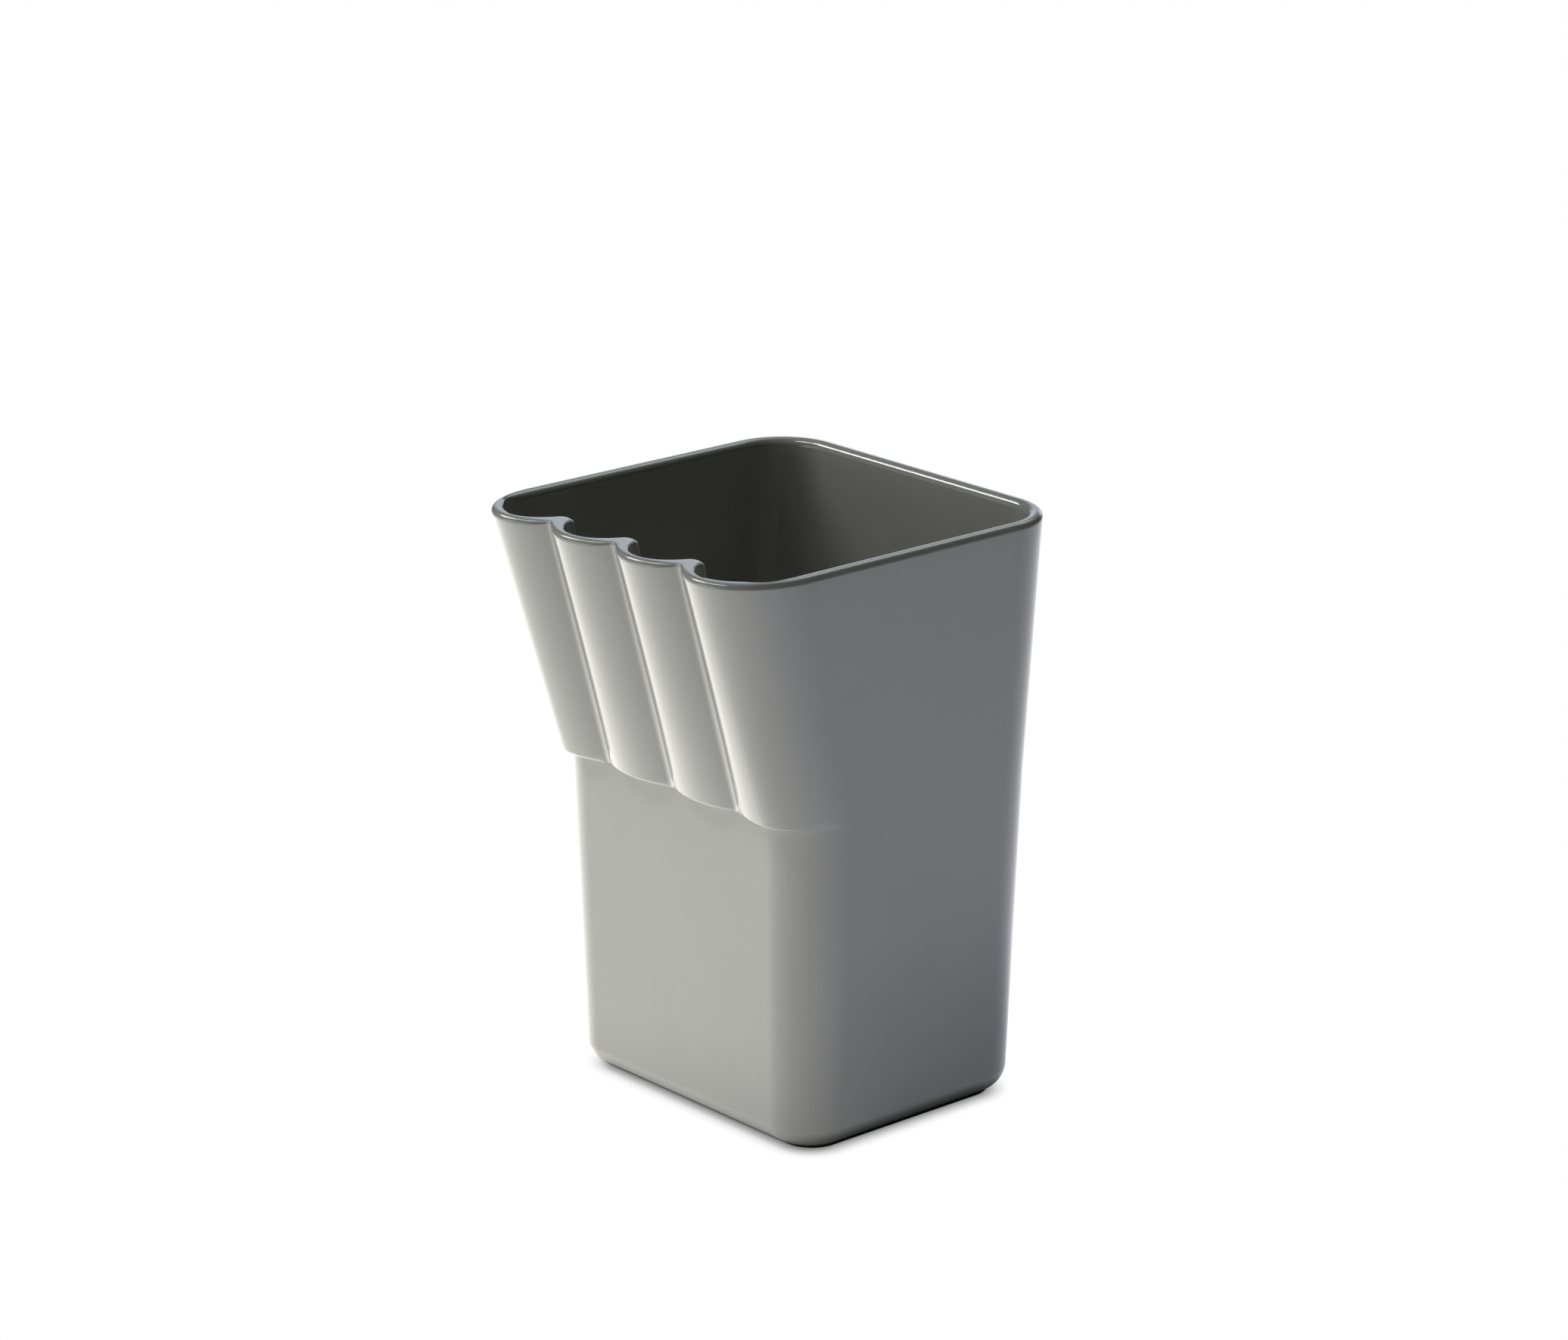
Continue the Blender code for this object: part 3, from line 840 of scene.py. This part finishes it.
sheen = sheet.node("ShaderNodeEmission", {}, {
    "Color": blend(sheet, side, SHEEN_ASIDE, SHEEN_LAMPWARD),
    "Strength": SHEEN_STRENGTH * far_off * sheen_clear * seen_by(sheet, "Glossy"),
})
# Painted bounce light for diffuse rays, with painted shade near the foot.
bounce_clear = clear_of_foot(sheet, place, *BOUNCE_SHADE)
bounce = sheet.node("ShaderNodeEmission", {}, {
    "Color": BOUNCE, "Strength": BOUNCE_STRENGTH * bounce_clear * seen_by(sheet, "Diffuse"),
})
matt = sheet.node("ShaderNodeBsdfDiffuse", {}, {"Color": PAPER})
glowing = sheet.node("ShaderNodeAddShader", {}, {0: sheen, 1: bounce})
paper = sheet.node("ShaderNodeAddShader", {}, {0: matt, 1: glowing})
plain_white = sheet.node("ShaderNodeEmission", {}, {"Color": WHITE, "Strength": 1.0})
shown = sheet.node("ShaderNodeMixShader", {},
                   {0: fade * seen_by(sheet, "Camera"), 1: paper, 2: plain_white})
sheet.node("ShaderNodeOutputMaterial", {}, {"Surface": shown})
print("paper nodes:", len(sheet.tree.nodes))

# %% [markdown]
# ## The studio's light
# The photograph's light is soft and comes from the left and from behind: a large lamp low on the
# left, a pale backdrop, a pale wall above it, and weaker glows overhead. The room to the right and
# behind the camera is dark, which gives the dark band just under the rim. Nearly all of it is one
# sky, made of round glows with soft edges, because lamps with hard edges would show as rectangles
# in the gloss. The camera sees plain white there.

# %% Glows of the sky: azimuth, elevation, tightness, colour, strength
GLOWS = {
    "low_lamp": (263.0, 0.0, 133.0, (1.0, 1.0, 1.0, 1.0), 2.75),
    "low_lamp_wide": (240.0, -3.0, 80.0, (1.0, 1.0, 0.86, 1.0), 2.95),
    "backdrop": (140.0, 11.0, 80.0, (0.80, 0.86, 1.0, 1.0), 1.0),
    "backdrop_right": (119.0, 5.0, 150.0, (0.80, 0.88, 1.0, 1.0), 1.4),
    "back_wall": (113.0, 45.0, 58.0, (0.95, 1.0, 0.95, 1.0), 1.8),
    "overhead": (175.0, 54.0, 181.0, (0.85, 0.90, 1.0, 1.0), 0.5),
    "back_overhead": (139.0, 64.0, 115.0, (0.92, 0.97, 1.0, 1.0), 0.4),
}


def glow(sheet, direction, azimuth, elevation, tightness):
    """A round glow on the sky: ((1 + cosine of the angle from its middle) / 2) to the tightness."""
    nearness = vectors(sheet, "DOT_PRODUCT", direction, toward(azimuth, elevation))
    return (0.5 + 0.5 * nearness) ** tightness


# %% Surroundings
world = bpy.data.worlds.new("studio")
bpy.context.scene.world = world
world.use_nodes = True
sheet = Sheet(world.node_tree)
direction = sheet.node("ShaderNodeTexCoord", {}, {}, "Generated")
sky = None
for name, (azimuth, elevation, tightness, tint, strength) in GLOWS.items():
    light = sheet.node("ShaderNodeBackground", {}, {
        "Color": tint, "Strength": strength * glow(sheet, direction, azimuth, elevation, tightness),
    })
    sky = light if sky is None else sheet.node("ShaderNodeAddShader", {}, {0: sky, 1: light})
    print(name, "at", azimuth, elevation, "strength", strength)
plain_white = sheet.node("ShaderNodeBackground", {}, {"Color": WHITE, "Strength": 1.0})
shown = sheet.node("ShaderNodeMixShader", {}, {0: seen_by(sheet, "Camera"), 1: sky, 2: plain_white})
sheet.node("ShaderNodeOutputWorld", {}, {"Surface": shown})

# %% [markdown]
# Two bright lamps on the left draw the thin white lines along the rim. The left one is caught by
# the crests of the lobes and by the inner edge of the back wall, and the high one by the sides of
# the lobes that turn to the right.

# %% Lamps for the lines on the rim: azimuth, elevation, roll, width, height, watts
LAMPS = {
    "left_lamp": (207.0, 41.0, 45.0, 0.84, 0.39, 6.9),
    "high_lamp": (240.0, 61.0, 35.0, 0.72, 0.33, 4.0),
}
LAMP_DISTANCE = 1.5


def lamp(name, azimuth, elevation, roll, width, height, watts):
    """A flat oval lamp in a direction from the rim's middle, facing it, rolled by some degrees."""
    light = bpy.data.lights.new(name, "AREA")
    light.shape = "ELLIPSE"
    light.size, light.size_y = width, height
    light.energy = watts
    made = bpy.data.objects.new(name, light)
    out = toward(azimuth, elevation)
    turn = out.to_track_quat("Z", "Y").to_matrix().to_4x4() @ Matrix.Rotation(math.radians(roll), 4, "Z")
    made.matrix_world = Matrix.Translation(Vector((0.0, 0.0, HEIGHT)) + out * LAMP_DISTANCE) @ turn
    bpy.context.scene.collection.objects.link(made)


for name, sizes in LAMPS.items():
    lamp(name, *sizes)
    print(name, "at", *sizes[:2], "watts", sizes[-1])

# %% [markdown]
# ## Camera
# The camera looks at the corner between the front and the right side, from a little above. Its
# place, direction and lens come from matching the outline, the rim and the step with the photograph.

# %% Camera
CAMERA_AZIMUTH = -41.19
CAMERA_ELEVATION = 17.64
CAMERA_DISTANCE = 948.08 * MM
SENSOR_WIDTH_MM, LENS_MM = 36.0, 115.74
AIM_ASIDE = -1.82 * MM
AIM_Z = 81.74 * MM
to_camera = toward(CAMERA_AZIMUTH, CAMERA_ELEVATION)
right = toward(CAMERA_AZIMUTH + 90.0, 0.0)
aim = right * AIM_ASIDE + Vector((0.0, 0.0, AIM_Z))
lens = bpy.data.cameras.new("camera")
lens.sensor_width, lens.lens = SENSOR_WIDTH_MM, LENS_MM
camera = bpy.data.objects.new("camera", lens)
turn = Matrix((right, to_camera.cross(right), to_camera)).transposed().to_4x4()
camera.matrix_world = Matrix.Translation(aim + to_camera * CAMERA_DISTANCE) @ turn
bpy.context.scene.collection.objects.link(camera)
bpy.context.scene.camera = camera
print("camera, mm:", [round(v / MM, 1) for v in camera.matrix_world.translation])

# %% Colour
bpy.context.scene.view_settings.view_transform = "Standard"
